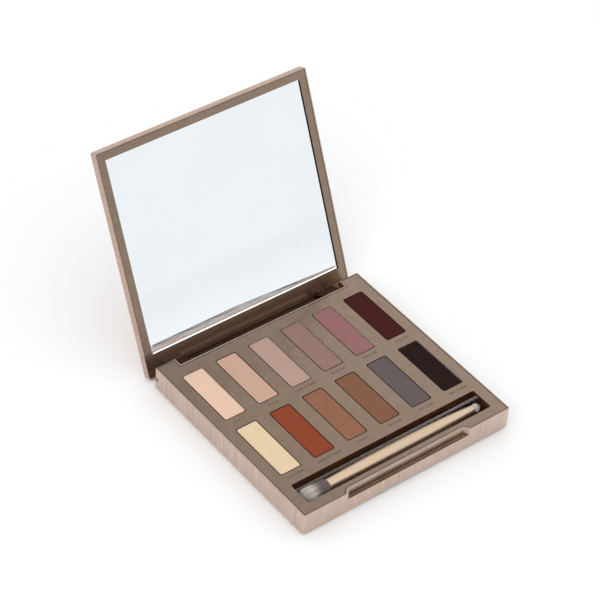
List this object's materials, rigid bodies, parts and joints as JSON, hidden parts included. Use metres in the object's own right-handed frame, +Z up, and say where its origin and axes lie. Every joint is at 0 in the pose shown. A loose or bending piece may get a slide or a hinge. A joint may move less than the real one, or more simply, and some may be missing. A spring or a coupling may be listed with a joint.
{
  "type": "eyeshadow palette",
  "caption": "Hinged make-up palette: shallow base with pans of pressed powder, a brush in a trough, and a mirrored lid that folds flat over it.",
  "frame": {"origin": "centre of the flat plinth face the base rests on", "axes": "+Z up, +Y towards the hinge at the back, +X to the right along the front edge; the lid stands open at rest"},
  "size_m": [0.15, 0.2098, 0.132],
  "materials": {
    "case_rose": "satin",
    "panel_taupe": "satin",
    "pan_tin": "satin",
    "pan_glue": "matte",
    "magnet": "satin",
    "hinge_steel": "satin",
    "mirror": "polished",
    "mirror_tape": "matte",
    "brush_champagne": "satin",
    "bristles_dark": "matte",
    "bristles_white": "matte",
    "clear_film": "gloss",
    "powder_01": "matte",
    "powder_02": "matte",
    "powder_03": "matte",
    "powder_04": "matte",
    "powder_05": "matte",
    "powder_06": "matte",
    "powder_07": "matte",
    "powder_08": "matte",
    "powder_09": "matte",
    "powder_10": "matte",
    "powder_11": "matte",
    "powder_12": "matte"
  },
  "bodies": {
    "base": {"base_shell": "case_rose", "base_tray": "panel_taupe", "pan_01": "pan_tin", "pan_02": "pan_tin", "pan_03": "pan_tin", "pan_04": "pan_tin", "pan_05": "pan_tin", "pan_06": "pan_tin", "pan_07": "pan_tin", "pan_08": "pan_tin", "pan_09": "pan_tin", "pan_10": "pan_tin", "pan_11": "pan_tin", "pan_12": "pan_tin", "powder_01": "powder_01", "powder_02": "powder_02", "powder_03": "powder_03", "powder_04": "powder_04", "powder_05": "powder_05", "powder_06": "powder_06", "powder_07": "powder_07", "powder_08": "powder_08", "powder_09": "powder_09", "powder_10": "powder_10", "powder_11": "powder_11", "powder_12": "powder_12", "pan_glue": "pan_glue", "base_magnets": "magnet", "hinge_pin_left": "hinge_steel", "hinge_pin_right": "hinge_steel", "brush_sleeve": "clear_film"},
    "lid": {"lid_shell": "case_rose", "lid_frame": "panel_taupe", "mirror_glass": "mirror", "mirror_tape": "mirror_tape", "lid_magnets": "magnet"},
    "brush": {"brush_handle": "brush_champagne", "bristles_large": "bristles_dark", "bristles_small": "bristles_white"}
  },
  "joints": [
    {"name": "lid_hinge", "type": "hinge", "parent": "base", "child": "lid", "pos_m": [0, 0.069, 0.00761], "axis": [-1, 0, 0], "range_deg": [-114, 1]},
    {"name": "brush_roll", "type": "hinge", "parent": "base", "child": "brush", "pos_m": [0, -0.05565, 0.01031], "axis": [1, 0, 0], "continuous": true}
  ]
}
